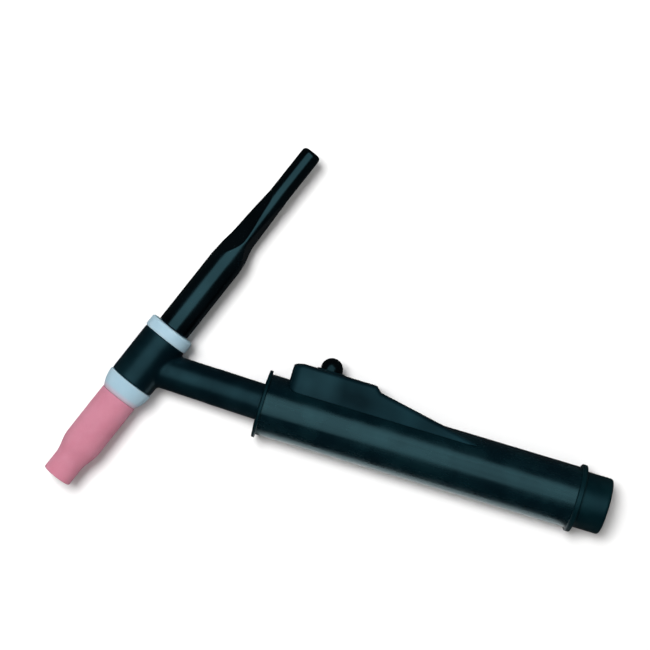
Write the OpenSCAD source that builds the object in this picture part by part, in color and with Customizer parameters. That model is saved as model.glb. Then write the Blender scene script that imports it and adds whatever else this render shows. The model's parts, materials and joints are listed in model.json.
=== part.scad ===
// TIG welding torch: a straight grip with a thumb switch, a rigid neck, and a head that carries
// the ceramic nozzle in front and the long back cap behind.
//
// The torch lies on its side. The grip runs along X with its cable end at +X, the switch and the
// back cap are on the +Y side, and Z is up. The origin is on the surface that the torch lies on,
// at the centre of the box around it. The modules place parts in three local frames:
//   on_grip()    local Z runs along the grip's axis, from its front face to the cable end
//   on_neck()    local Z runs along the neck's axis, from where it crosses the grip's axis to the rear
//   on_head()    local Z runs along the head's axis, from the neck's centre line to the back cap
//   on_switch()  local X runs along the grip, local Z is the height above the grip's axis

/* [Grip] */
// Outside diameter of the grip tube
grip_d = 31.8; // [31:0.1:33]
// Wall of the grip tube
grip_wall = 2.5; // [2:0.1:2.8]
// Length of the handle over both collars
handle_len = 183.5; // [175:0.5:195]
// Diameter of the rims at both ends of the grip
rim_d = 35.2; // [34:0.1:37]
// Outside diameter of the rear collar
collar_d = 29.2; // [28:0.1:30]
// Length of the rear collar behind its rim
collar_len = 14.5; // [12:0.5:18]
// Diameter of the cable inlet
inlet_d = 22; // [20:0.5:23]

/* [Switch] */
// Distance from the grip's front face to the switch housing
housing_x = 10.6; // [10.5:0.1:13]
// Width of the switch housing
housing_w = 24.4; // [22:0.1:25]
// Height of the housing's flat top above the grip's axis
housing_h = 25.4; // [25:0.1:26]
// Distance from the grip's front face to the button's axis
button_x = 30.2; // [28.3:0.1:30.5]
// Diameter of the push button
button_d = 11.3; // [10.5:0.1:11.5]
// Travel of the push button
button_travel = 1.5; // [1:0.1:1.5]

/* [Neck] */
// Distance from the head's axis to where the neck crosses the grip's axis
neck_run = 88.5; // [80:0.5:100]
// Tilt of the neck to the grip
neck_tilt = 1.4; // [0:0.1:2]
// Diameter of the covered neck
neck_d = 18.8; // [17:0.1:19]
// Diameter of the copper neck tube
tube_d = 10; // [8:0.1:10.4]

/* [Head] */
// Angle between the neck and the back cap
head_angle = 69.7; // [65:0.1:90]
// Diameter of the moulded head
head_d = 24; // [23:0.1:26]
// Distance from the neck's centre line to the head's front face
head_front = 11.3; // [11:0.1:12]
// Distance from the neck's centre line to the head's rear face
head_rear = 16.5; // [16:0.1:18]
// Diameter of both insulating rings
ring_d = 24.8; // [24:0.1:27]
// Thickness of the rear insulating ring
back_ring_t = 6.4; // [6:0.1:7]
// Length of the front insulating ring
front_ring_t = 10; // [9:0.1:10.5]

/* [Nozzle and back cap] */
// Length of the nozzle in front of its insulating ring
nozzle_len = 51.2; // [48:0.1:60]
// Diameter of the nozzle at its root
nozzle_d = 20; // [19:0.1:20.4]
// Diameter of the nozzle at its tip
nozzle_tip_d = 15.6; // [15:0.1:17]
// Diameter of the nozzle's gas outlet
outlet_d = 11.2; // [10:0.1:11.6]
// Length of the back cap behind its insulating ring
cap_len = 114.4; // [105:0.1:125]
// Diameter of the back cap's thick end
cap_d = 17.3; // [16.5:0.1:18]
// Diameter of the back cap's thin end
cap_tip_d = 10.3; // [10:0.1:11]
// Diameter of the tungsten electrode
electrode_d = 2.4; // [2:0.1:2.4]
// Length of the tungsten electrode
electrode_len = 175; // [150:1:175]

/* [Hidden] */
$fn = 96;
far = 60;                            // longer than any part that a cutter has to clear
skin = 0.05;                         // running clearance of a part that slides or turns
gap = 0.1;                           // clearance between parts that push on each other

grip_r = grip_d / 2;
bore_r = grip_r - grip_wall;
rim_r = rim_d / 2;
front_rim_end = 2.2;                 // the front rim's rear face, where the grip tube begins
rear_rim_t = 2.8;
collar_x = handle_len - collar_len;  // the rear rim's rear face
tube_end_x = collar_x - rear_rim_t;  // the grip tube's rear end

bend_x = 27;                         // where the neck's axis crosses the grip's axis
joint_x = bend_x - neck_run * cos(neck_tilt);
joint_y = neck_run * sin(neck_tilt);
cap_dir = head_angle - neck_tilt;    // the back cap's direction, measured from +X
jacket_depth = 8;                    // how far the neck's cover reaches into the front collar
tube_start = 5.6;                    // from the head's axis to the copper tube's end
tube_tail = 35;                      // how far the copper tube runs behind the crossing point
core_d = 17.2;

front_ring_u = -head_front - front_ring_t;
nozzle_tip_u = front_ring_u - nozzle_len;
nozzle_tip_r = nozzle_tip_d / 2;
back_ring_u = head_rear + back_ring_t;
cap_tip_u = back_ring_u + cap_len;
cap_seat_u = 8;                      // where the back cap's shank meets the collet
cap_bore_end = cap_tip_u - 5;
tip_recess = 9;                      // how far the electrode's tip lies inside the nozzle

stud_d = 9.52;                       // thread of the power cable's stud
hex_s = tube_tail - 8;               // where the stud's hexagon begins
hex_t = 10;
hex_af = 14;
stud_s = hex_s + hex_t + 1.5;
stud_len = 14;

// The centre of the box around the torch, in the grip's frame
box_left = joint_x + nozzle_tip_u * cos(cap_dir) - nozzle_tip_r * sin(cap_dir);
box_low = joint_y + nozzle_tip_u * sin(cap_dir) - nozzle_tip_r * cos(cap_dir);
box_high = joint_y + cap_tip_u * sin(cap_dir) + cap_tip_d / 4 * cos(cap_dir);
box_x = (box_left + handle_len) / 2;
box_y = (box_low + box_high) / 2;

// The switch housing's side outline: the nose, the flat top, the step down and the long ramp
nose_h = housing_h - 1.3;
shoulder_x = housing_x + 5.3;
step_x = 54.7;
ramp_x = 57.8;
ramp_h = housing_h - 2.8;
ramp_slope = 0.184;
ramp_foot = 9.4;                     // height at which the ramp ends, on the grip's flank
ramp_end_x = ramp_x + (ramp_h - ramp_foot) / ramp_slope;
wall = 2;                            // the housing's wall
bezel_h = 0.7;                       // the raised ring around the button
housing_screw_x = [18, 66];
bracket_screw_x = 43.5;

// The switch's works, as heights above the grip's axis
flange_h = 21.9;                     // underside of the button's flange
plate_h = 17.6;                      // underside of the bracket's plate
plate_t = 1;
stem_r = 1.5;
lever_arm = 8.5;                     // from the lever's pivot to the button's stem
plunger_arm = 4;                     // from the lever's pivot to the plunger
lever_t = 0.4;
lever_rest = button_travel / lever_arm / 2 * 180 / PI;
pivot_x = button_x + lever_arm;
plunger_x = pivot_x - plunger_arm;
pivot_h = 14.6;
case_x = [button_x - 2.7, pivot_x + 1.6];
case_h = [6.4, 12.7];
case_w = 5.9;
case_wall = 1;
case_screw_x = [case_x[0] + 2, case_x[1] - 1.6];
case_screw_h = 9;
lead_h = [10.45, 7.6];
lead_r = 0.7;
plug_x = [118, 130];

// ---------------------------------------------------------------- local frames

module place() translate([-box_x, -box_y, rim_r]) children();

module on_grip() place() rotate([0, 90, 0]) children();

module on_neck() place() translate([bend_x, 0, 0]) rotate([0, 0, -neck_tilt]) rotate([0, 90, 0]) children();

module on_head() place() translate([joint_x, joint_y, 0]) rotate([0, 0, cap_dir]) rotate([0, 90, 0]) children();

module on_switch() place() rotate([-90, 0, 0]) children();

// ---------------------------------------------------------------- shapes that repeat

function arc(cx, cy, r, from, to, steps = 8) =
    [for (i = [0:steps]) let (a = from + (to - from) * i / steps) [cx + r * cos(a), cy + r * sin(a)]];

// A smooth S-shaped run of outline from one radius and height to another
function s_curve(r0, u0, r1, u1, steps = 12) =
    [for (i = [0:steps]) let (t = i / steps) [r0 + (r1 - r0) * (3 - 2 * t) * t * t, u0 + (u1 - u0) * t]];

// Thread crests as a zigzag outline, from the height from_u up to to_u
function thread(crest, root, from_u, to_u, pitch) =
    let (turns = floor((to_u - from_u) / pitch))
    [for (i = [0:turns - 1]) for (p = [[root, 0.1], [crest, 0.4], [crest, 0.6], [root, 0.9]])
        [p[0], from_u + (i + p[1]) * pitch]];

module rod(r, from, to) translate([0, 0, from]) cylinder(r = r, h = to - from);

module pipe(r_out, r_in, from, to) difference() {
    rod(r_out, from, to);
    rod(r_in, from - 1, to + 1);
}

module box(x, y, z) translate([x[0], y[0], z[0]]) cube([x[1] - x[0], y[1] - y[0], z[1] - z[0]]);

// A screw that points down, with its head's seat at height 0 and a cross recess
module screw(shaft_r, head_r, head_t, length) difference() {
    union() {
        rod(head_r, 0, head_t);
        rod(shaft_r, -length, 0.01);
    }
    for (turn = [0, 90]) rotate([0, 0, turn])
        box([-head_r * 0.6, head_r * 0.6], [-0.25, 0.25], [head_t * 0.45, head_t + 1]);
}

// ---------------------------------------------------------------- head, nozzle and back cap

// Pink alumina cup that guides the shielding gas
module nozzle() {
    lip = 1.1;
    root_r = nozzle_d / 2;
    root_u = front_ring_u - gap;
    thread_end = front_ring_u - 12;
    outline = concat(
        [[7.05, root_u], [root_r - 0.4, root_u], [root_r, root_u - 0.4]],
        s_curve(root_r, front_ring_u - 29.6, nozzle_tip_r, front_ring_u - 41.5),
        arc(nozzle_tip_r - lip, nozzle_tip_u + lip, lip, 0, -90, 6),
        arc(outlet_d / 2 + 0.5, nozzle_tip_u + 0.5, 0.5, -90, -180, 4),
        s_curve(outlet_d / 2, thread_end - 12, 7.05, thread_end)
    );
    color("#d98a9c") on_head() rotate_extrude() polygon(outline);
}

// Front insulating ring between the head and the nozzle
module front_gasket() {
    r = ring_d / 2;
    lip_r = nozzle_d / 2 - 0.2;
    top_u = -head_front - gap;
    outline = concat(
        [[7.4, top_u], [r - 0.4, top_u], [r, top_u - 0.4]],
        [for (i = [1:8]) let (s = i / 8)
            [r - (r - lip_r) * s * s, top_u - 0.4 + (front_ring_u - top_u + 0.4) * s]],
        [[7.4, front_ring_u]]
    );
    color("#c3d9e6") on_head() rotate_extrude() polygon(outline);
}

// Copper collet body: screws into the head, holds the collet and lets the gas out through its side
module collet_body() {
    flange_u = -head_front - 0.3;
    thread_u = front_ring_u - 9.6;
    nose_u = -50;
    gas_u = -38;
    outline = concat(
        [[0, -1], [4.85, -1], [4.85, flange_u], [6.6, flange_u], [6.6, flange_u - 3.4]],
        [for (p = thread(7, 6.3, -(flange_u - 3.6), -thread_u, 1.6)) [p[0], -p[1]]],
        [[5.2, thread_u - 0.4], [5.2, nose_u + 5], [3.4, nose_u], [0, nose_u]]
    );
    color("#b87333") on_head() difference() {
        rotate_extrude() polygon(outline);
        rotate_extrude() polygon([[0, 0], [2.55, 0], [2.55, nose_u + 8], [1.3, nose_u + 4], [0, nose_u + 4]]);
        rod(1.3, nose_u - 1, nose_u + 5);
        for (turn = [0, 90]) rotate([0, 0, turn + 45]) translate([-far / 2, 0, gas_u])
            rotate([0, 90, 0]) cylinder(r = 1, h = far);
    }
}

// Slotted copper collet that grips the electrode
module collet() {
    nose_u = -45.6;
    color("#c98a55") on_head() difference() {
        rotate_extrude() polygon([
            [electrode_d / 2 + skin, cap_seat_u - gap], [3, cap_seat_u - gap], [3, cap_seat_u - 4],
            [2.45, cap_seat_u - 4.6], [2.45, nose_u + 3.6], [1.45, nose_u + 0.4], [electrode_d / 2 + skin, nose_u + 0.4]
        ]);
        for (turn = [0, 90]) rotate([0, 0, turn]) box([-far, far], [-0.2, 0.2], [nose_u - 1, nose_u + 22]);
    }
}

// Ground tungsten electrode, drawn back inside the nozzle
module electrode() {
    tip = nozzle_tip_u + tip_recess;
    r = electrode_d / 2;
    color("#8f9296") on_head() rotate_extrude() polygon([
        [0, tip], [0.15, tip], [r, tip + 5], [r, tip + electrode_len - 0.2],
        [r - 0.2, tip + electrode_len], [0, tip + electrode_len]
    ]);
}

// Moulded insulating cover of the head and the neck
module head_jacket() color("#10191c") difference() {
    union() {
        on_head() rod(head_d / 2, -head_front, head_rear);
        on_neck() rod(neck_d / 2, -neck_run, jacket_depth - bend_x);
    }
    on_head() rod(core_d / 2, -far, far);
    on_neck() rod(tube_d / 2, -neck_run, far);
}

// Brass core that joins the neck tube, the collet body and the back cap
module head_core() color("#c9a54a") difference() {
    on_head() rod(core_d / 2, 0.5 - head_front, head_rear - 0.5);
    on_head() rod(6.4, cap_seat_u - 0.4, far);
    on_head() rod(3.4, 0, cap_seat_u);
    on_head() rod(4.85, -far, 1);
    on_neck() rod(tube_d / 2, tube_start - neck_run, far);
    on_neck() rod(3, -neck_run, far);
}

// Rear insulating ring between the head and the back cap
module back_gasket() {
    r = ring_d / 2;
    edge = 1.4;
    outline = concat(
        [[7.3, head_rear]],
        arc(r - 0.5, head_rear + 0.5, 0.5, -90, 0, 4),
        arc(r - edge, back_ring_u - edge, edge, 0, 90, 8),
        [[7.3, back_ring_u]]
    );
    color("#c3d9e6") on_head() rotate_extrude() polygon(outline);
}

// Long back cap: a thick grip that three flats thin down to a slim end
module back_cap() {
    r = cap_d / 2;
    tip_r = cap_tip_d / 2;
    cone_u = [back_ring_u + 43, back_ring_u + 86];
    flat_r = tip_r + 0.15;
    run_in = 14;
    outline = concat(
        [[0, cap_seat_u], [5.6, cap_seat_u]],
        thread(6.3, 5.7, cap_seat_u + 0.2, head_rear - 0.6, 1.25),
        [[5.7, head_rear], [6.9, head_rear + 0.4], [6.9, head_rear + 1.6], [6.05, head_rear + 1.6],
         [6.05, head_rear + 3.8], [6.9, head_rear + 3.8], [6.9, back_ring_u + gap]],
        arc(r - 0.5, back_ring_u + gap + 0.5, 0.5, -90, 0, 4),
        [[r, cone_u[0]], [tip_r, cone_u[1]]],
        [for (p = arc(0, 0, 1, 0, 85, 8)) [tip_r - 2.6 + 2.6 * p[0], cap_tip_u - 2 + 2 * p[1]]],
        [[0, cap_tip_u]]
    );
    color("#08090a") on_head() difference() {
        rotate_extrude() polygon(outline);
        rod(electrode_d / 2 + 0.5, cap_seat_u - 1, cap_bore_end);
        for (turn = [15, 135, 255]) rotate([0, 0, turn]) rotate([90, 0, 0])
            translate([0, 0, -far / 2]) linear_extrude(far) polygon([
                [r, cone_u[0]], [flat_r, cone_u[0] + run_in], [flat_r, cone_u[1]], [far, cone_u[1]], [far, cone_u[0]]
            ]);
    }
}

// Silicone ring that seals the back cap's shank
module cap_o_ring() color("#7d2b22") on_head() rotate_extrude() translate([6.65, head_rear + 2.7]) circle(r = 0.6);

// ---------------------------------------------------------------- neck

// Copper tube that carries the current and the gas
module neck_tube() color("#b87333") on_neck() pipe(tube_d / 2, 3, tube_start - neck_run, tube_tail);

// Shrink sleeve over the tube inside the handle
module neck_sleeve() color("#1d2326") on_neck() pipe(tube_d / 2 + 0.6, tube_d / 2, jacket_depth - bend_x + 0.2, hex_s - 0.3);

// Brass stud that the power and gas cable screws onto
module cable_stud() color("#c9a54a") on_neck() difference() {
    union() {
        translate([0, 0, hex_s]) cylinder(d = hex_af / cos(30), h = hex_t, $fn = 6);
        rod(stud_d / 2 - 0.7, hex_s + 1, stud_s);
        rod(stud_d / 2, stud_s, stud_s + stud_len);
    }
    rod(tube_d / 2, hex_s - 1, tube_tail);
    rod(2.4, hex_s, far);
}

// ---------------------------------------------------------------- handle

// Front collar: closes the grip around the neck
module front_collar() color("#131f23") difference() {
    on_grip() rotate_extrude() polygon([
        [0, 0], [12, 0], [rim_r - 0.4, 0.6], [rim_r, 1], [rim_r, front_rim_end - 0.4],
        [rim_r - 0.4, front_rim_end], [bore_r, front_rim_end], [bore_r, 11.5], [bore_r - 0.5, 12], [0, 12]
    ]);
    on_neck() rod(neck_d / 2, -far, far);
}

// Grip tube, with the opening for the switch and its screw holes
module grip_tube() color("#14262b") difference() {
    on_grip() pipe(grip_r, bore_r, front_rim_end, tube_end_x);
    on_switch() box([22, 46], [-7.5, 7.5], [8, far]);
    on_switch() for (x = housing_screw_x) translate([x, 0, 0]) rod(1.5, 8, far);
}

// Rear collar: rim, cable inlet and the spigot that holds it in the grip tube
module rear_collar() color("#131f23") on_grip() difference() {
    rotate_extrude() polygon([
        [0, tube_end_x - 14], [bore_r - 0.5, tube_end_x - 14], [bore_r, tube_end_x - 13.5], [bore_r, tube_end_x],
        [rim_r - 0.4, tube_end_x], [rim_r, tube_end_x + 0.4], [rim_r, collar_x - 0.4], [rim_r - 0.4, collar_x],
        [collar_d / 2, collar_x], [collar_d / 2, handle_len - 1.2], [collar_d / 2 - 1.2, handle_len], [0, handle_len]
    ]);
    rod(inlet_d / 2, 0, far * 4);
}

// ---------------------------------------------------------------- switch

// The housing's side outline, drawn in by inset on its outer edges
module housing_side(inset) polygon([
    [housing_x + inset, 0], [housing_x + inset, nose_h - inset], [shoulder_x, housing_h - inset],
    [step_x - inset / 2, housing_h - inset], [ramp_x - inset / 2, ramp_h - inset],
    [ramp_end_x, ramp_foot - inset], [ramp_end_x, 0]
]);

// The housing's plan outline, with rounded front corners
module housing_plan(inset) {
    corner = 6.2;
    half = housing_w / 2 - inset;
    x = housing_x + inset;
    for (side = [-1, 1]) translate([x + corner, side * (half - corner)]) circle(r = corner);
    translate([x, corner - half]) square([far, 2 * (half - corner)]);
    translate([x + corner, -half]) square([far * 2, 2 * half]);
}

module housing_block(inset) intersection() {
    rotate([90, 0, 0]) translate([0, 0, -far]) linear_extrude(2 * far) housing_side(inset);
    linear_extrude(far) housing_plan(inset);
}

// Saddle over the grip that holds the button and the switch
module switch_housing() color("#1a3138") on_switch() difference() {
    union() {
        difference() {
            housing_block(0);
            intersection() {
                housing_block(wall);
                box([0, 92], [-far, far], [0, far]);
            }
        }
        translate([button_x, 0, 0]) rod(button_d / 2 + 1.5, housing_h - 1, housing_h + bezel_h);
        translate([housing_screw_x[0], 0, 0]) rod(3.4, 12, housing_h - 1);
        translate([housing_screw_x[1], 0, 0]) rod(4.2, 12, 20.2);
        translate([bracket_screw_x, 0, 0]) rod(2.6, plate_h + plate_t, housing_h - 1);
    }
    rotate([0, 90, 0]) rod(grip_r, 0, far * 4);
    translate([button_x, 0, 0]) rod(button_d / 2 + 0.15, flange_h, far);
    for (x = housing_screw_x) translate([x, 0, 0]) rod(1.6, 8, far);
    translate([housing_screw_x[0], 0, 0]) rod(2.9, housing_h - 1.7, far);
    translate([housing_screw_x[1], 0, 0]) rod(2.9, 18.2, far);
    translate([bracket_screw_x, 0, 0]) rod(1.1, plate_h, housing_h - 3);
}

// Two screws that hold the housing on the grip tube
module housing_screws() color("#9aa0a4") on_switch() {
    translate([housing_screw_x[0], 0, housing_h - 1.7]) screw(1.5, 2.75, 1.6, 11);
    translate([housing_screw_x[1], 0, 18.2]) screw(1.5, 2.75, 1.8, 5.5);
}

// Domed push button with its flange and stem
module button() {
    r = button_d / 2;
    top = flange_h + 1.3;
    dome_h = 27;
    outline = concat(
        [[0, flange_h - 4.75]],
        [[stem_r, flange_h - 4.75], [stem_r, flange_h], [r + 1, flange_h], [r + 1, top], [r, top]],
        arc(0, dome_h, r, 0, 90, 12)
    );
    color("#0a0c0d") on_switch() translate([button_x, 0, 0]) {
        rotate_extrude() polygon(outline);
        translate([0, 0, flange_h - 4.75]) sphere(r = stem_r);
    }
}

// Return spring around the button's stem
module button_spring() {
    sides = 8;
    turns = 3.5;
    steps = 84;
    wire_r = 0.2;
    mean_r = 2.9;
    low = plate_h + plate_t + wire_r + 0.05;
    high = flange_h - wire_r - 0.05;
    points = [for (i = [0:steps]) for (k = [0:sides - 1])
        let (a = 360 * turns * i / steps, b = 360 * k / sides, r = mean_r + wire_r * cos(b))
        [r * cos(a), r * sin(a), low + (high - low) * i / steps + wire_r * sin(b)]];
    skin_faces = [for (i = [0:steps - 1]) for (k = [0:sides - 1])
        let (a = i * sides + k, b = i * sides + (k + 1) % sides)
        [a, a + sides, b + sides, b]];
    ends = [[for (k = [0:sides - 1]) k], [for (k = [sides - 1:-1:0]) steps * sides + k]];
    color("#b9bec2") on_switch() translate([button_x, 0, 0]) polyhedron(points, concat(skin_faces, ends));
}

// Bracket that hangs from the housing and carries the switch
module switch_bracket() {
    half = case_w / 2;
    color("#aab0b4") on_switch() difference() {
        union() {
            box([button_x - 4.4, bracket_screw_x + 2.6], [-half - 1.2, half + 1.2], [plate_h, plate_h + plate_t]);
            for (side = [-1, 1]) translate([0, side * (half + 0.6), 0])
                box([case_x[0], case_x[1] - 0.2], [-0.6, 0.6], [case_h[0], plate_h + 0.5]);
        }
        translate([button_x, 0, 0]) rod(stem_r + 0.25, 0, far);
        translate([bracket_screw_x, 0, 0]) rod(1.2, 0, far);
        for (x = case_screw_x) translate([x, far, case_screw_h]) rotate([90, 0, 0]) cylinder(r = 0.9, h = 2 * far);
    }
}

// Screw that holds the bracket up against the housing's boss
module bracket_screw() color("#9aa0a4") on_switch() translate([bracket_screw_x, 0, plate_h])
    mirror([0, 0, 1]) screw(1.1, 2.1, 1.4, 4.6);

// Case of the snap switch, with ears for the lever's pin
module switch_case() {
    half = case_w / 2;
    color("#2b2f33") on_switch() difference() {
        union() {
            box(case_x, [-half, half], case_h);
            for (side = [-1, 1]) translate([0, side * (half - 0.5), 0]) {
                box([pivot_x - 1, pivot_x + 1], [-0.4, 0.4], [case_h[1] - 0.5, pivot_h]);
                translate([pivot_x, 0.4, pivot_h]) rotate([90, 0, 0]) cylinder(r = 1, h = 0.8);
            }
        }
        box([case_x[0] + 3.4, case_x[1] - 2.8], [-1.9, 1.9], [case_h[0] + case_wall, case_h[1] - case_wall]);
        translate([plunger_x, 0, 0]) rod(0.8 + skin, 10, far);
        translate([pivot_x, far, pivot_h]) rotate([90, 0, 0]) cylinder(r = 0.5, h = 2 * far);
        for (x = case_screw_x) translate([x, far, case_screw_h]) rotate([90, 0, 0]) cylinder(r = 0.9, h = 2 * far);
        box([case_x[1] - 3, far], [-0.8, 0.8], [10.2, 10.7]);
        box([case_x[1] - 3, far], [-0.8, 0.8], [7.4, 7.8]);
    }
}

// Two cross screws through the bracket and the switch
module case_screws() color("#9aa0a4") on_switch() for (x = case_screw_x)
    translate([x, case_w / 2 + 1.2, case_screw_h]) rotate([-90, 0, 0]) screw(0.9, 1.7, 1.1, case_w + 4);

// Nuts of the two cross screws
module case_nuts() color("#9aa0a4") on_switch() for (x = case_screw_x)
    translate([x, -case_w / 2 - 1.2, case_screw_h]) rotate([90, 0, 0]) difference() {
        cylinder(d = 3.8, h = 1.2, $fn = 6);
        rod(0.9, -1, 2);
    }

// Lever between the button's stem and the plunger, at its rest angle
module switch_lever() {
    reach = lever_arm + 2.4;
    color("#b9bec2") on_switch() translate([pivot_x, 0, pivot_h]) rotate([0, lever_rest, 0]) difference() {
        union() {
            box([-reach, 0], [-1.5, 1.5], [-lever_t / 2, lever_t / 2]);
            rotate([90, 0, 0]) rod(0.95, -1.5, 1.5);
        }
        rotate([90, 0, 0]) rod(0.5 + skin, -far, far);
    }
}

// Pin that the lever turns on
module lever_pin() color("#9aa0a4") on_switch() translate([pivot_x, 0, pivot_h])
    rotate([90, 0, 0]) rod(0.5, 0.05 - case_w / 2, case_w / 2 - 0.05);

// Plunger that the lever pushes into the switch
module switch_plunger() color("#b5332c") on_switch() translate([plunger_x, 0, 0]) rotate_extrude() polygon(concat(
    [[0, 9.75], [0.45, 9.75], [0.45, 10.3], [1.3, 10.3], [1.3, 11.6], [0.8, 11.6]],
    arc(0, pivot_h - 0.75, 0.8, 0, 90, 8)
));

// Spring strip that the plunger bends onto the fixed contact
module contact_blade() color("#c98a55") on_switch() {
    box([case_x[0] + 3.6, case_x[1] - 3.9], [-0.7, 0.7], [8.8, 9]);
    translate([case_x[0] + 4.8, 0, 0]) rod(0.6, 8.55, 8.81);
}

// The common terminal, which carries the blade, and the fixed contact's terminal
module switch_terminals() color("#c9a54a") on_switch() {
    union() {
        box([case_x[1] - 3.9, case_x[1] - 3.3], [-0.8, 0.8], [8.6, 10.7]);
        box([case_x[1] - 3.9, case_x[1] + 3.6], [-0.8, 0.8], [10.2, 10.7]);
    }
    union() {
        box([case_x[0] + 4, case_x[1] + 3.6], [-0.8, 0.8], [7.4, 7.8]);
        translate([case_x[0] + 4.8, 0, 0]) rod(0.6, 7.7, 8.3);
    }
}

// Two leads from the terminals to the plug, one above the other
module switch_leads() color("#8a2f2a") on_switch() for (h = lead_h)
    translate([case_x[1] + 3.6, 0, h]) rotate([0, 90, 0]) cylinder(r = lead_r, h = plug_x[0] + 1 - case_x[1] - 3.6);

// Two-way plug that meets the cable's control leads
module lead_plug() color("#d8d9d6") on_switch() difference() {
    box(plug_x, [-2.4, 2.4], [lead_h[1] - 1.9, lead_h[0] + 1.9]);
    for (h = lead_h) translate([0, 0, h]) rotate([0, 90, 0]) {
        rod(lead_r, plug_x[0] - 1, plug_x[0] + 1);
        rod(0.5, plug_x[0], plug_x[0] + 3);
        rod(1.1, plug_x[0] + 2, far * 4);
    }
}

// Contact pins inside the plug
module plug_pins() color("#c9a54a") on_switch() for (h = lead_h)
    translate([0, 0, h]) rotate([0, 90, 0]) rod(0.5, plug_x[0] + 1, plug_x[1] - 1.5);

nozzle();
front_gasket();
collet_body();
collet();
electrode();
head_jacket();
head_core();
back_gasket();
back_cap();
cap_o_ring();
neck_tube();
neck_sleeve();
cable_stud();
front_collar();
grip_tube();
rear_collar();
switch_housing();
housing_screws();
button();
button_spring();
switch_bracket();
bracket_screw();
switch_case();
case_screws();
case_nuts();
switch_lever();
lever_pin();
switch_plunger();
contact_blade();
switch_terminals();
switch_leads();
lead_plug();
plug_pins();
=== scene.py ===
"""Looks of a TIG torch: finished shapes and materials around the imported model.

Shapes are drawn in millimetres in local frames, like the model's own, and placed in metres. The frames come
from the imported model: the grip from its box, the head from the joints' axes, the neck from the cable stud.
"""

import itertools
import json
import math

import bpy
import numpy as np
import openvdb
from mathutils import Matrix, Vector


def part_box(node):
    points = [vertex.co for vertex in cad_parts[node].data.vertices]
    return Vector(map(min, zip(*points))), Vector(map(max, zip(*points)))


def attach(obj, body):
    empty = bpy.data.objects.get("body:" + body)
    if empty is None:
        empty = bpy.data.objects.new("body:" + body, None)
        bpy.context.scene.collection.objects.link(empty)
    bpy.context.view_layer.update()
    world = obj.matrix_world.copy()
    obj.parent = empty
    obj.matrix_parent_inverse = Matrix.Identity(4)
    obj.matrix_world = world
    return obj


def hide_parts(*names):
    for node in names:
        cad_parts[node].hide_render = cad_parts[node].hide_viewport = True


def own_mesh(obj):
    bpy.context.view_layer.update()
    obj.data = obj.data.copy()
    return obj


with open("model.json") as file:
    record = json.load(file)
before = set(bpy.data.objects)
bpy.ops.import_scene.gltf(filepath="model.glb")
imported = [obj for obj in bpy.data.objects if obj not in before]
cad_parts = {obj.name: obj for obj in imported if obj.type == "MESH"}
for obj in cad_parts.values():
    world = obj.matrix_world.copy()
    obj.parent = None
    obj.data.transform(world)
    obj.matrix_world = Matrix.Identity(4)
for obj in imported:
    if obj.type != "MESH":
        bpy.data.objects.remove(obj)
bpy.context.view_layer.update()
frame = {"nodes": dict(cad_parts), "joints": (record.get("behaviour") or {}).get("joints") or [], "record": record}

joints = {j["name"]: j for j in frame["joints"]}
mounts = {m["name"]: m for m in frame["record"]["mounts"]}


# ---------------------------------------------------------------- local frames


class Place:
    """A local frame in millimetres, with z along `along` and x as near `across` as it can be."""

    def __init__(self, origin, along, across):
        self.z = np.array(along, float) / np.linalg.norm(along)
        self.y = np.cross(self.z, across)
        self.y /= np.linalg.norm(self.y)
        self.x = np.cross(self.y, self.z)
        self.axes = np.stack([self.x, self.y, self.z])
        self.origin = np.array(origin, float)

    def out(self, points):
        return self.origin + np.asarray(points, float) @ self.axes / 1000

    def turn(self, directions):
        return np.asarray(directions, float) @ self.axes

    def inside(self, x, y, z, other):
        """The same points, given in this frame, as x, y and z in the other frame."""
        p = (self.out(np.stack([x, y, z], -1)) - other.origin) * 1000 @ other.axes.T
        return p[..., 0], p[..., 1], p[..., 2]


DOWN = (0, 0, -1)
GRIP_FRONT = 2.2  # from the handle's front face to the grip tube
tube_low, tube_high = (np.array(v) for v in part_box("grip_tube"))
middle = (tube_low + tube_high) / 2
handle_at = np.array([tube_low[0] - GRIP_FRONT / 1000, middle[1], middle[2]])

NOZZLE_TO_HEAD = 0.040  # in metres, from the nozzle's joint to the head's origin
NECK_TO_STUD = 0.0455  # in metres, from the neck's origin to the cable stud
cap_axis = np.array(joints["cap_turn"]["axis"])
head_at = np.array(joints["nozzle_turn"]["pos_m"]) + cap_axis * NOZZLE_TO_HEAD
neck_axis = np.array(mounts["cable_stud"]["axis"])
neck_at = np.array(mounts["cable_stud"]["pos_m"]) - neck_axis * NECK_TO_STUD

grip = Place(handle_at, (1, 0, 0), DOWN)
head = Place(head_at, cap_axis, DOWN)
neck = Place(neck_at, neck_axis, DOWN)
switch = Place(handle_at, (0, 1, 0), (1, 0, 0))  # x along the grip, z the height above its axis


def span(place, node):
    """The lowest and highest x, y and z of a CAD node in a local frame."""
    mesh = frame["nodes"][node].data
    flat = np.empty(len(mesh.vertices) * 3)
    mesh.vertices.foreach_get("co", flat)
    local = (flat.reshape(-1, 3) - place.origin) * 1000 @ place.axes.T
    return local.min(0), local.max(0)


# radii, and places along the axes, in millimetres
GRIP_R = span(grip, "grip_tube")[1][0]
RIM_R = span(grip, "rear_collar")[1][0]
NECK_R, HEAD_R = 9.4, 12.0
HEAD_FRONT, HEAD_REAR = -11.3, 16.5
RING_R = span(head, "back_gasket")[1][0]
RING_FRONT, RING_REAR = span(head, "front_gasket")[0][2], span(head, "back_gasket")[1][2]
NOZZLE_TIP, CAP_TIP = span(head, "nozzle")[0][2], span(head, "back_cap")[1][2]


# ---------------------------------------------------------------- materials


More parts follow.
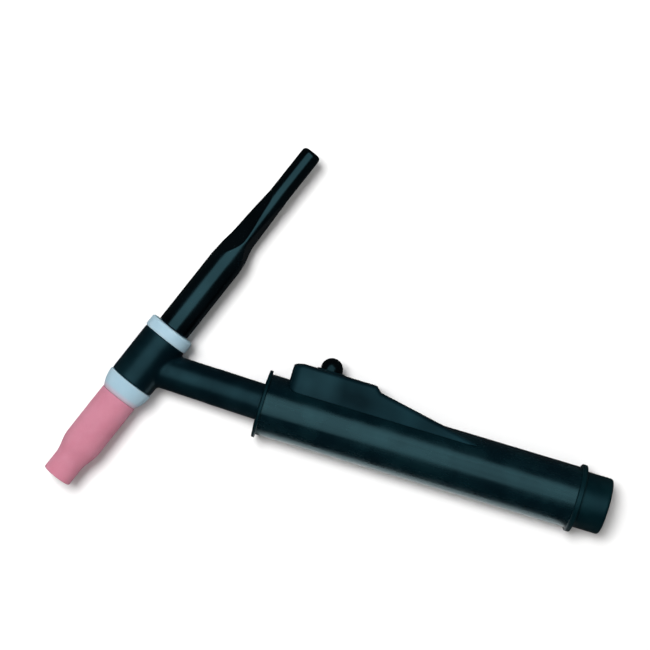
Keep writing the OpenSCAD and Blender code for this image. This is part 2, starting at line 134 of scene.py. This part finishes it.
class Nodes:
    """A material's nodes, made one after another."""

    def __init__(self, name):
        self.material = bpy.data.materials.new(name)
        self.material.use_nodes = True
        self.tree = self.material.node_tree
        self.shader = self.tree.nodes["Principled BSDF"]
        self.where = self.add("ShaderNodeTexCoord").outputs["Object"]

    def put(self, socket, value):
        """Sets a socket, or links it to another one. A colour gets its alpha."""
        if isinstance(value, bpy.types.NodeSocket):
            self.tree.links.new(value, socket)
        elif isinstance(value, tuple) and len(socket.default_value) == 4:
            socket.default_value = (*value, 1)
        else:
            socket.default_value = value

    def add(self, kind, inputs=None, **settings):
        node = self.tree.nodes.new(kind)
        for key, value in settings.items():
            setattr(node, key, value)
        for key, value in (inputs or {}).items():
            self.put(node.inputs[key], value)
        return node

    def stretched(self, scale):
        return self.add("ShaderNodeMapping", {"Vector": self.where, "Scale": scale}).outputs["Vector"]

    def noise(self, scale, detail=3.0, rough=0.55, vector=None):
        inputs = {"Vector": vector or self.where, "Scale": scale, "Detail": detail, "Roughness": rough}
        return self.add("ShaderNodeTexNoise", inputs).outputs["Fac"]

    def remap(self, value, low, high, to_low, to_high):
        inputs = {"Value": value, "From Min": low, "From Max": high, "To Min": to_low, "To Max": to_high}
        return self.add("ShaderNodeMapRange", inputs).outputs["Result"]

    def mix(self, factor, a, b):
        # its sockets go by number, because several of them share a name
        return self.add("ShaderNodeMix", {0: factor, 6: a, 7: b}, data_type="RGBA").outputs[2]

    def math(self, operation, a, b):
        return self.add("ShaderNodeMath", {0: a, 1: b}, operation=operation).outputs["Value"]

    def bump(self, height, depth_mm, strength=1.0, under=None):
        inputs = {"Height": height, "Distance": depth_mm / 1000, "Strength": strength}
        if under:
            inputs["Normal"] = under
        return self.add("ShaderNodeBump", inputs).outputs["Normal"]

    def edges(self, low, high):
        """How much a point lies on an outer edge, from 0 to 1."""
        pointed = self.add("ShaderNodeNewGeometry").outputs["Pointiness"]
        return self.remap(pointed, low, high, 0, 1)

    def finish(self, **sockets):
        for key, value in sockets.items():
            self.put(self.shader.inputs[key.replace("_", " ")], value)
        return self.material


BLACK = (0.0, 0.0, 0.0)


def moulded(
    name, dark, light, rough, patch=0.05, cloud_mm=7.0, grain_mm=0.35, depth=0.003, streak=0.0, rub=0.35,
    tint=(1.0, 1.0, 1.0), gloss=(0.8, 1.0), worn=None, **shine,
):
    """Moulded plastic or rubber: soft patches, a fine grain, drawn streaks and edges rubbed lighter.

    The shine is `tint` times the two numbers of `gloss`, in patches. `worn` is a place that handling has
    polished: a point, the two distances in mm between which the polish fades, and how much glossier it is.
    """
    n = Nodes(name)
    cloud = n.noise(500 / cloud_mm, 2, 0.45)
    base = n.mix(n.remap(cloud, 0.36, 0.64, 0, 1), dark, light)
    scuff = n.math("MULTIPLY", n.edges(0.57, 0.66), n.remap(n.noise(900, 3), 0.4, 0.65, 0, rub))
    colour = n.mix(scuff, base, tuple(min(1.0, v * 1.6 + 0.012) for v in light))
    normal = n.bump(n.noise(1000 / grain_mm, 2, 0.5), depth)
    spread = n.remap(cloud, 0.3, 0.7, rough - patch, rough + patch)
    shown = n.remap(cloud, 0.36, 0.64, *gloss)
    if worn:
        point, near, far, gain = worn
        away = n.add("ShaderNodeVectorMath", {0: n.where, 1: point}, operation="DISTANCE").outputs["Value"]
        away = n.math("ADD", away, n.remap(cloud, 0.3, 0.7, 0.0015, -0.0015))
        shown = n.math("MULTIPLY", shown, n.remap(away, near / 1000, far / 1000, gain, 1))
    if streak:
        drawn = n.noise(60, 2, 0.5, n.stretched((0.10, 3.4, 3.4)))
        spread = n.math("ADD", spread, n.remap(drawn, 0.3, 0.7, -streak, streak))
        shown = n.math("MULTIPLY", shown, n.remap(drawn, 0.35, 0.65, 1 - 5 * streak, 1))
        normal = n.bump(drawn, 0.14, 0.6, normal)
    spread = n.math("ADD", spread, n.math("MULTIPLY", scuff, 0.12))
    sheen = n.mix(shown, BLACK, tint)
    return n.finish(Base_Color=colour, Roughness=spread, Normal=normal, Specular_Tint=sheen, **shine)


def turned_metal(name, bright, dull, rough):
    """Bare metal: tarnish in clouds and fine machining marks."""
    n = Nodes(name)
    cloud = n.noise(220, 5, 0.65)
    colour = n.mix(n.remap(cloud, 0.38, 0.66, 0, 1), bright, dull)
    marks = n.noise(2600, 2, 0.5)
    tarnish = n.remap(cloud, 0.3, 0.7, rough - 0.06, rough + 0.12)
    spread = n.math("ADD", tarnish, n.remap(marks, 0.3, 0.7, -0.04, 0.05))
    return n.finish(Base_Color=colour, Roughness=spread, Normal=n.bump(marks, 0.006), Metallic=1.0)


def fired_ceramic():
    """Pink alumina: chalky, faintly mottled, with fine pores and a paler rubbed lip."""
    n = Nodes("alumina")
    cloud = n.noise(75, 4, 0.6)
    base = n.mix(n.remap(cloud, 0.32, 0.7, 0, 1), (0.540, 0.222, 0.296), (0.485, 0.183, 0.252))
    speck = n.remap(n.noise(2400, 2, 0.7), 0.62, 0.76, 0, 0.35)
    colour = n.mix(speck, base, (0.62, 0.33, 0.38))
    colour = n.mix(n.math("MULTIPLY", n.edges(0.52, 0.58), 0.35), colour, (0.66, 0.34, 0.40))
    pores = n.noise(3200, 3, 0.6)
    normal = n.bump(pores, 0.02, 0.8, n.bump(n.noise(420, 2), 0.05, 0.35))
    rough = n.remap(cloud, 0.3, 0.7, 0.56, 0.68)
    return n.finish(
        Base_Color=colour, Roughness=rough, Normal=normal, Specular_IOR_Level=0.35, Subsurface_Weight=0.55,
        Subsurface_Scale=0.005, Subsurface_Radius=(1.0, 0.65, 0.65),
    )


def milky_resin(name, painted_pink_light=False):
    """The pale rings: resin that lets light in. When asked, the front of the ring gets painted pink light, as if
    thrown on it by the nozzle.
    """
    n = Nodes(name)
    cloud = n.noise(90, 3, 0.5)
    colour = n.mix(n.remap(cloud, 0.3, 0.7, 0, 1), (0.37, 0.52, 0.605), (0.325, 0.48, 0.57))
    colour = n.mix(n.math("MULTIPLY", n.edges(0.52, 0.6), 0.4), colour, (0.50, 0.64, 0.70))
    if painted_pink_light:
        place = {0: n.where, 1: tuple(head.z)}
        along = n.add("ShaderNodeVectorMath", place, operation="DOT_PRODUCT").outputs["Value"]
        edge = float(head.origin @ head.z) + RING_FRONT / 1000
        # painted light: pink mixed into the front 3 mm of the ring, standing in for the nozzle's glow on it
        colour = n.mix(n.remap(along, edge, edge + 0.003, 0.85, 0), colour, (0.57, 0.36, 0.44))
    lathe = n.noise(1500, 2, 0.5)
    rough = n.remap(cloud, 0.3, 0.7, 0.36, 0.46)
    return n.finish(
        Base_Color=colour, Roughness=rough, Normal=n.bump(lathe, 0.008), Subsurface_Weight=0.60,
        Subsurface_Scale=0.006, Subsurface_Radius=(0.9, 1.0, 1.0), Specular_IOR_Level=0.45,
    )


TEAL = (0.30, 0.82, 1.0)
THUMB_WEAR = tuple(switch.out([(27, 0, 15.5)])[0])
looks = {
    "alumina": fired_ceramic(),
    "ptfe": milky_resin("ptfe"),
    "ptfe_lit_pink": milky_resin("ptfe_lit_pink", True),
    "head_rubber": moulded(
        "head_rubber", (0.0003, 0.0030, 0.0052), (0.0008, 0.0062, 0.0092), 0.38, cloud_mm=9, grain_mm=0.45,
        tint=TEAL, gloss=(0.6, 1), Specular_IOR_Level=0.85,
    ),
    "grip_plastic": moulded(
        "grip_plastic", (0.0003, 0.0042, 0.0068), (0.0008, 0.0080, 0.0112), 0.27, depth=0.0010, streak=0.07,
        rub=0.0, tint=(0.37, 0.87, 1.0), Specular_IOR_Level=0.97, IOR=1.6,
    ),
    "housing_plastic": moulded(
        "housing_plastic", (0.0003, 0.0025, 0.0045), (0.0018, 0.0120, 0.0170), 0.44, patch=0.10,
        cloud_mm=17, grain_mm=0.4, tint=TEAL, gloss=(0.22, 0.58), worn=(THUMB_WEAR, 14.0, 18.5, 2.0),
        Specular_IOR_Level=1.0,
    ),
    "collar_rubber": moulded(
        "collar_rubber", (0.0003, 0.0055, 0.0080), (0.0008, 0.0090, 0.0115), 0.42, grain_mm=0.4, tint=TEAL,
        Specular_IOR_Level=0.55,
    ),
    "cap_plastic": moulded(
        "cap_plastic", (0.0002, 0.0003, 0.0005), (0.0004, 0.0006, 0.0010), 0.23, cloud_mm=12, grain_mm=1.2,
        depth=0.0006, tint=TEAL, gloss=(0.75, 1), Specular_IOR_Level=1.0, IOR=1.52,
    ),
    "button_plastic": moulded(
        "button_plastic", (0.0003, 0.0005, 0.0008), (0.0008, 0.0012, 0.0016), 0.22, grain_mm=0.8,
        depth=0.0006, tint=TEAL, Specular_IOR_Level=0.50,
    ),
    "copper": turned_metal("copper", (0.78, 0.36, 0.20), (0.42, 0.17, 0.09), 0.30),
    "brass": turned_metal("brass", (0.76, 0.55, 0.24), (0.47, 0.31, 0.12), 0.30),
    "steel": turned_metal("steel", (0.62, 0.64, 0.66), (0.42, 0.44, 0.46), 0.30),
    "tungsten": turned_metal("tungsten", (0.46, 0.47, 0.49), (0.27, 0.28, 0.30), 0.36),
    "seal_rubber": moulded("seal_rubber", (0.20, 0.022, 0.014), (0.27, 0.035, 0.022), 0.45),
    "sleeve_plastic": moulded("sleeve_plastic", (0.010, 0.012, 0.014), (0.022, 0.026, 0.028), 0.42),
    "switch_nylon": moulded("switch_nylon", (0.018, 0.020, 0.023), (0.032, 0.035, 0.040), 0.48),
    "plunger_plastic": moulded("plunger_plastic", (0.40, 0.030, 0.020), (0.48, 0.045, 0.030), 0.38),
    "lead_insulation": moulded("lead_insulation", (0.24, 0.022, 0.016), (0.31, 0.035, 0.026), 0.40),
    "plug_nylon": moulded("plug_nylon", (0.60, 0.60, 0.55), (0.70, 0.70, 0.66), 0.42),
}

slot_of = {s["node"]: s["material_slot"] for s in frame["record"]["subparts"]}
for node, obj in frame["nodes"].items():
    obj.data.materials.clear()
    obj.data.materials.append(looks[slot_of[node]])


# ---------------------------------------------------------------- making pieces


def stand_for(obj, node):
    """Puts a piece in the scene in a CAD node's place and on the node's body, and hides the node."""
    bpy.context.scene.collection.objects.link(obj)
    body = next(b for b, members in frame["record"]["behaviour"]["bodies"].items() if node in members)
    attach(obj, body)
    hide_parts(node)


def piece(name, node, points, faces, normals=None, look=None):
    """A piece that stands for a CAD node, made from points in metres."""
    mesh = bpy.data.meshes.new(name)
    mesh.from_pydata([tuple(p) for p in points], [], faces)
    mesh.shade_smooth()
    if normals is not None:
        mesh.normals_split_custom_set_from_vertices([tuple(v) for v in normals])
    mesh.materials.append(looks[look or slot_of[node]])
    obj = bpy.data.objects.new(name, mesh)
    stand_for(obj, node)
    return obj


def rounded(corners, steps=6):
    """A closed outline of (r, u, radius) corners with each corner rounded."""
    out = []
    for i, (x, y, radius) in enumerate(corners):
        p = np.array([x, y])
        if radius <= 0:
            out.append(tuple(p))
            continue
        before = np.array(corners[i - 1][:2]) - p
        after = np.array(corners[(i + 1) % len(corners)][:2]) - p
        a, b = before / np.linalg.norm(before), after / np.linalg.norm(after)
        half = math.acos(max(-1, min(1, float(a @ b)))) / 2
        reach = min(radius / math.tan(half), 0.49 * np.linalg.norm(before), 0.49 * np.linalg.norm(after))
        start, end = p + a * reach, p + b * reach
        for k in range(steps + 1):
            t = k / steps
            out.append(tuple((1 - t) ** 2 * start + 2 * t * (1 - t) * p + t * t * end))
    return out


def revolved(name, node, place, outline, sides=144, look=None):
    """A closed outline of (r, u) points turned around the frame's z axis."""
    points, rings, faces = [], [], []
    for r, u in outline:
        if r < 1e-6:
            rings.append([len(points)] * sides)
            points.append((0, 0, u))
        else:
            rings.append(list(range(len(points), len(points) + sides)))
            turns = [2 * math.pi * k / sides for k in range(sides)]
            points += [(r * math.cos(t), r * math.sin(t), u) for t in turns]
    area = sum(a[0] * b[1] - b[0] * a[1] for a, b in zip(outline, outline[1:] + outline[:1]))
    for i, ring in enumerate(rings):
        after = rings[(i + 1) % len(rings)]
        for k in range(sides):
            face = [ring[k], ring[(k + 1) % sides], after[(k + 1) % sides], after[k]]
            face = list(dict.fromkeys(face))
            if len(face) > 2:
                faces.append(face if area > 0 else face[::-1])
    obj = piece(name, node, place.out(points), faces, look=look)
    smooth = obj.modifiers.new("even_shading", "WEIGHTED_NORMAL")
    smooth.weight = 80
    return obj


def cup(a, b, size):
    """The larger of two distances, with the edge between them rounded. It cuts one shape with another."""
    blend = np.maximum(size - np.abs(a - b), 0) / size
    return np.maximum(a, b) + blend * blend * size / 4


def join(a, b, size):
    """The smaller of two distances, with the corner between them filled."""
    return -cup(-a, -b, size)


def outline_distance(x, y, corners):
    """Signed distance from points to a closed outline, negative inside it."""
    best = np.full(np.shape(x), np.inf)
    sign = np.ones(np.shape(x))
    for i, (ax, ay) in enumerate(corners):
        bx, by = corners[i - 1]
        ex, ey, wx, wy = bx - ax, by - ay, x - ax, y - ay
        share = np.clip((wx * ex + wy * ey) / max(ex * ex + ey * ey, 1e-12), 0, 1)
        best = np.minimum(best, (wx - ex * share) ** 2 + (wy - ey * share) ** 2)
        above, below, left = y >= ay, y < by, ex * wy > ey * wx
        flip = (above & below & left) | (~above & ~below & ~left)
        sign = np.where(flip, -sign, sign)
    return sign * np.sqrt(best)


def carved(name, node, place, distance, low, high, pitch, look=None):
    """The surface where a distance function is zero, found on a grid and then drawn exactly onto it."""
    low, high = np.array(low, float), np.array(high, float)
    counts = np.ceil((high - low) / pitch).astype(int) + 1
    axes = [low[i] + pitch * np.arange(counts[i]) for i in range(3)]
    values = distance(*np.meshgrid(*axes, indexing="ij")).astype(np.float32)
    grid = openvdb.FloatGrid(background=float(4 * pitch))
    grid.copyFromArray(np.clip(values, -3 * pitch, 4 * pitch))
    points, triangles, quads = grid.convertToPolygons(isovalue=0.0, adaptivity=0.0)
    points = low + points.astype(float) * pitch

    def slope(p, step):
        """How fast the distance grows at each point along x, y and z."""
        parts = []
        for i in range(3):
            shift = np.zeros(3)
            shift[i] = step
            parts.append(distance(*(p + shift).T) - distance(*(p - shift).T))
        return np.stack(parts, -1) / (2 * step)

    for _ in range(3):
        way = slope(points, 0.03)
        length = np.maximum((way * way).sum(-1), 0.05)
        move = -(distance(*points.T) / length)[:, None] * way
        reach = np.linalg.norm(move, axis=-1, keepdims=True)
        points = points + move * np.minimum(1, 0.5 * pitch / np.maximum(reach, 1e-9))
    normals = slope(points, 0.08)
    normals /= np.maximum(np.linalg.norm(normals, axis=-1, keepdims=True), 1e-9)
    faces = [tuple(int(v) for v in f) for f in quads] + [tuple(int(v) for v in f) for f in triangles]
    a, b, c = (points[[f[k] for f in faces]] for k in (0, 1, 2))
    outward = (np.cross(b - a, c - a) * normals[[f[0] for f in faces]]).sum(-1)
    if np.median(outward) < 0:
        faces = [f[::-1] for f in faces]
    return piece(name, node, place.out(points), faces, place.turn(normals), look)


# ---------------------------------------------------------------- nozzle and rings


def eased(r0, u0, r1, u1, steps=24):
    """An outline from one radius to another that starts and ends straight."""
    shares = [k / steps for k in range(steps + 1)]
    return [(r0 + (r1 - r0) * (3 - 2 * t) * t * t, u0 + (u1 - u0) * t, 0) for t in shares]


ROOT_R, TIP_R, OUTLET_R, SOCKET_R = 10.0, 7.8, 5.6, 7.05
nozzle_root = RING_FRONT - 0.1
taper = eased(ROOT_R, RING_FRONT - 29.6, TIP_R, RING_FRONT - 41.5)
throat = eased(OUTLET_R, RING_FRONT - 24, SOCKET_R, RING_FRONT - 12)
revolved("gas_nozzle", "nozzle", head, rounded(
    [(SOCKET_R, nozzle_root, 0), (ROOT_R, nozzle_root, 0.45)] + taper
    + [(TIP_R, NOZZLE_TIP, 1.5), (OUTLET_R, NOZZLE_TIP, 0.75)] + throat, 10
))

BORE_R, LIP_R = 7.4, 9.8
ring_top = HEAD_FRONT - 0.1
bowl = [(RING_R - (RING_R - LIP_R) * t * t, ring_top - 0.5 + (RING_FRONT - ring_top + 0.5) * t, 0)
        for t in (k / 24 for k in range(1, 24))]
revolved("front_ring", "front_gasket", head, rounded(
    [(BORE_R, ring_top, 0.3), (RING_R, ring_top, 0.45)] + bowl
    + [(LIP_R, RING_FRONT, 0.25), (BORE_R, RING_FRONT, 0.3)]
), look="ptfe_lit_pink")

revolved("rear_ring", "back_gasket", head, rounded([
    (7.3, HEAD_REAR, 0.2), (RING_R, HEAD_REAR, 0.5), (RING_R, RING_REAR, 1.5), (7.3, RING_REAR, 0.4)
], 10))


# ---------------------------------------------------------------- head and neck


def tube_distance(x, y, z, place, other, radius, low, high, edge):
    """Signed distance to a solid rod of the other frame, with rounded ends."""
    px, py, pz = place.inside(x, y, z, other)
    ends = np.abs(pz - (low + high) / 2) - (high - low) / 2
    return cup(np.hypot(px, py) - radius, ends, edge)


STEP_AT, STEP = -52.6, 0.16  # behind this place the neck's cover is a little thicker
STEM_MIDDLE, STEM_HALF = -53.75, 34.75
HEAD_BORE, NECK_BORE = 8.62, 5.02


def head_shape(x, y, z):
    body = tube_distance(x, y, z, grip, head, HEAD_R, HEAD_FRONT, HEAD_REAR, 0.9)
    px, py, pz = grip.inside(x, y, z, neck)
    rise = STEP / (1 + np.exp(np.clip(-(pz - STEP_AT) / 0.25, -30, 30)))
    stem = cup(np.hypot(px, py) - (NECK_R - STEP + rise), np.abs(pz - STEM_MIDDLE) - STEM_HALF, 0.6)
    shape = join(body, stem, 1.4)
    shape = np.maximum(shape, -tube_distance(x, y, z, grip, head, HEAD_BORE, -40, 40, 0.2))
    return np.maximum(shape, -tube_distance(x, y, z, grip, neck, NECK_BORE, -80, 20, 0.2))


corners = [(np.array(corner) - grip.origin) * 1000 @ grip.axes.T
           for corner in itertools.product(*zip(*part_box("head_jacket")))]
carved("head_cover", "head_jacket", grip, head_shape, np.min(corners, 0) - 1, np.max(corners, 0) + 1, 0.42)


# ---------------------------------------------------------------- back cap

CAP_R, CAP_TIP_R = 8.65, 5.15
CONE = (65.9, 108.9)  # where the cap starts and stops narrowing
cap_outline = rounded([
    (0, 8, 0), (5.6, 8, 0.2), (5.7, 15.9, 0), (5.7, 16.5, 0), (6.9, 16.9, 0),  # shank
    (6.9, 18.1, 0), (6.05, 18.1, 0), (6.05, 20.3, 0), (6.9, 20.3, 0), (6.9, 23.0, 0),  # seal's groove
    (CAP_R, 23.0, 0.6), (CAP_R, CONE[0], 14), (CAP_TIP_R, CONE[1], 12),
    (CAP_TIP_R, CAP_TIP, 2.6), (0, CAP_TIP, 0),
])


def cap_shape(x, y, z):
    """The turned cap with its three flats, which are deepest at the waist, and the blind hole in its end."""
    r = np.hypot(x, y)
    shape = outline_distance(r, z, cap_outline)
    along = np.clip((z - CONE[0]) / 15, 0, 1)
    depth = 8.75 - 3.8 * (3 - 2 * along) * along * along
    depth = depth + 4 * np.clip((z - CONE[1] + 6) / 12, 0, 1) ** 2
    waist = np.exp(-((z - 84) / 11) ** 2)
    for turn, more in ((15, 0), (135, 0.75), (255, 0.3)):
        a = math.radians(turn)
        shape = cup(shape, (x * math.cos(a) + y * math.sin(a) - depth + more * waist) * 0.96, 0.5)
    return np.maximum(shape, -cup(r - 1.7, z - 132.3, 0.3))


carved("back_cap_shell", "back_cap", head, cap_shape, (-9.5, -9.5, 7), (9.5, 9.5, CAP_TIP + 1), 0.36)


# ---------------------------------------------------------------- handle

PLUG_R = 13.38  # the part of both collars that sits in the grip tube
GRIP_REAR, TAIL_R, TAIL_END, CABLE_R = 166.2, 14.6, 183.5, 11
revolved("tail_collar", "rear_collar", grip, rounded([
    (CABLE_R, 152.2, 0.4), (12.9, 152.2, 0), (PLUG_R, 152.7, 0), (PLUG_R, GRIP_REAR, 0),
    (RIM_R, GRIP_REAR, 0.7), (RIM_R, 169, 0.7), (TAIL_R, 169, 0.5), (TAIL_R, TAIL_END, 1.6),
    (CABLE_R, TAIL_END, 0.7),
], 8))

collar_outline = rounded([
    (0, 0, 0), (12, 0, 3), (RIM_R, 0.5, 0.5), (RIM_R, GRIP_FRONT, 0.4),
    (PLUG_R, GRIP_FRONT, 0), (PLUG_R, 11.5, 0), (12.9, 12, 0), (0, 12, 0),
])


def collar_shape(x, y, z):
    shape = outline_distance(np.hypot(x, y), z, collar_outline)
    return cup(shape, -tube_distance(x, y, z, grip, neck, NECK_R + 0.03, -60, 60, 0.2), 0.5)


carved("nose_collar", "front_collar", grip, collar_shape, (-18.5, -18.5, -1), (18.5, 18.5, 13), 0.34)


# ---------------------------------------------------------------- switch housing and button

button_low, button_high = span(switch, "button")
housing_low, housing_high = span(switch, "switch_housing")
BUTTON_X, BUTTON_TOP = (button_low[0] + button_high[0]) / 2, button_high[2]
BUTTON_R = (button_high[0] - button_low[0]) / 2 - 1  # the flange stands out 1 mm
FRONT, BACK, HALF = housing_low[0], housing_high[0], housing_high[1]
TOP, WALL = 25.4, 2
SCREWS, BRACKET_AT = (18, 66), 43.5
# each boss's place, radius, foot and top
BOSSES = ((SCREWS[0], 3.4, 8, 24.4), (SCREWS[1], 4.2, 8, 20.2), (BRACKET_AT, 2.6, 18.6, 24.4))


def side_outline(inset):
    """The housing seen from the side, as x and height: a flat top, a short step down and a long slope."""
    return [
        (FRONT + inset, -20), (FRONT + inset, TOP - 1.3 - inset), (FRONT + 5.3, TOP - inset),
        (54.7 - inset / 2, TOP - inset), (57.8 - inset / 2, TOP - 2.8 - inset),
        (BACK, 9.4 - inset), (BACK, -20),
    ]


def plan_outline(inset):
    """The housing seen from above, as x and y, with a rounded front."""
    corner, half, x0 = 6.2, HALF - inset, FRONT + inset
    bend = [math.radians(90 + 10 * k) for k in range(10)]
    top = [(x0 + corner + corner * math.cos(t), half - corner + corner * math.sin(t)) for t in bend]
    return [(140, half)] + top + [(x, -y) for x, y in top[::-1]] + [(140, -half)]


def screw_well(x, y, z, at, seat):
    """A screw's hole and the wider well for its head, down to the height `seat`."""
    r = np.hypot(x - at, y)
    return np.minimum(r - 1.6, np.maximum(r - 2.9, seat - z))


def housing_shape(x, y, z):
    shape = cup(outline_distance(x, z, side_outline(0)), outline_distance(x, y, plan_outline(0)), 2.6)
    hollow = cup(outline_distance(x, z, side_outline(WALL)), outline_distance(x, y, plan_outline(WALL)), 1.0)
    shape = np.maximum(shape, -np.maximum(hollow, x - 92))
    r = np.hypot(x - BUTTON_X, y)
    bezel = cup(r - BUTTON_R - 1.5, np.abs(z - 25.05) - 1.05, 0.7)
    shape = join(shape, bezel, 0.8)
    for at, size, low, high in BOSSES:
        boss = np.maximum(np.hypot(x - at, y) - size, np.abs(z - (low + high) / 2) - (high - low) / 2)
        shape = np.minimum(shape, boss)
    shape = cup(shape, -(r - BUTTON_R - 0.15), 0.35)
    shape = np.maximum(shape, -screw_well(x, y, z, SCREWS[0], 23.7))
    shape = np.maximum(shape, -screw_well(x, y, z, SCREWS[1], 18.2))
    shape = np.maximum(shape, -np.maximum(np.hypot(x - BRACKET_AT, y) - 1.1, z - 22.4))
    return cup(shape, GRIP_R + 0.03 - np.hypot(y, z), 0.5)


carved(
    "switch_saddle", "switch_housing", switch, housing_shape,
    (FRONT - 1.2, -HALF - 1.2, 6), (BACK + 1, HALF + 1.2, 27.4), 0.42, "housing_plastic",
)

DOME_FOOT = 27
dome = [(BUTTON_R * math.cos(t), DOME_FOOT + BUTTON_R * math.sin(t), 0)
        for t in (math.radians(3 * k) for k in range(30))]
thumb = Place(switch.out([(BUTTON_X, 0, 0)])[0], (0, 1, 0), (1, 0, 0))
revolved("thumb_button", "button", thumb, rounded([
    (0, 15.65, 0), (1.5, 15.65, 1.4), (1.5, 21.9, 0.2),  # peg
    (6.65, 21.9, 0.25), (6.65, 23.2, 0.35), (BUTTON_R, 23.2, 0.2),  # flange
] + dome + [(0, BUTTON_TOP, 0)]))


# the spring, a copy of the CAD node's mesh, with its lower end on the bracket
coil = bpy.data.objects.new("return_spring", frame["nodes"]["button_spring"].data.copy())
stand_for(coil, "button_spring")
coil_low, coil_high = span(switch, "button_spring")
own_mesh(coil)


# ---------------------------------------------------------------- floor, lights and camera

paper = Nodes("paper").finish(Base_Color=(0.90, 0.90, 0.90), Roughness=0.9, Specular_IOR_Level=0.1)


def sheet_of_paper(name, corners):
    mesh = bpy.data.meshes.new(name)
    mesh.from_pydata([tuple(c) for c in corners], [], [(0, 1, 2, 3)])
    mesh.materials.append(paper)
    obj = bpy.data.objects.new(name, mesh)
    bpy.context.scene.collection.objects.link(obj)
    return obj


floor = sheet_of_paper("floor", [(-20, -20, 0), (20, -20, 0), (20, 20, 0), (-20, 20, 0)])
floor.visible_glossy = False  # the gloss shows the lights and the card below, not the whole floor
card = [switch.out([(x, 0, z)])[0] for x, z in ((4, -75), (169, -75), (169, -8), (4, -8))]
sheet_of_paper("card", [(x, y, 0.0001) for x, y, _ in card])  # it lights the grip's lower edge

TURN = math.radians(16.73)  # the camera is turned about its own axis, so the grip slopes down to the right
right = Vector((math.cos(TURN), math.sin(TURN), 0))
up = Vector((-math.sin(TURN), math.cos(TURN), 0))
centre = Vector(switch.out([(20.35, 0, 47.5)])[0])  # the camera looks straight down at it
CAMERA_HEIGHT = 1.12  # in metres, above the centre


def softbox(name, across, upward, height, size, power, colour=(1, 1, 1)):
    """A square light at a place in metres in the picture's own directions, aimed at its centre."""
    light = bpy.data.lights.new(name, "AREA")
    light.shape = "RECTANGLE"
    light.size = light.size_y = size
    light.energy = power
    light.color = colour
    obj = bpy.data.objects.new(name, light)
    obj.location = centre + right * across + up * upward + Vector((0, 0, height))
    obj.rotation_euler = (centre - obj.location).to_track_quat("-Z", "Y").to_euler()
    bpy.context.scene.collection.objects.link(obj)
    return obj


softbox("overhead", -0.20, 0.27, 1.9, 2.4, 17)
key = softbox("key", -0.33, 0.40, 1.9, 0.60, 37)
fill = softbox("fill", 0.90, -0.90, 0.62, 0.8, 2.9, colour=(1.0, 0.93, 0.88))
key.visible_glossy = fill.visible_glossy = False  # the overhead box alone makes the highlights

world = bpy.data.worlds.new("studio")
world.use_nodes = True
sky = world.node_tree.nodes["Background"].inputs
sky["Color"].default_value = (0.9, 0.95, 1.0, 1)
sky["Strength"].default_value = 0.03
bpy.context.scene.world = world
bpy.context.scene.view_settings.view_transform = "Standard"

lens = bpy.data.cameras.new("camera")
lens.lens = 122
lens.sensor_width = 36
lens.clip_start = 0.01
camera = bpy.data.objects.new("camera", lens)
camera.location = centre + Vector((0, 0, CAMERA_HEIGHT))
camera.rotation_euler = (0, 0, TURN)
bpy.context.scene.collection.objects.link(camera)
bpy.context.scene.camera = camera
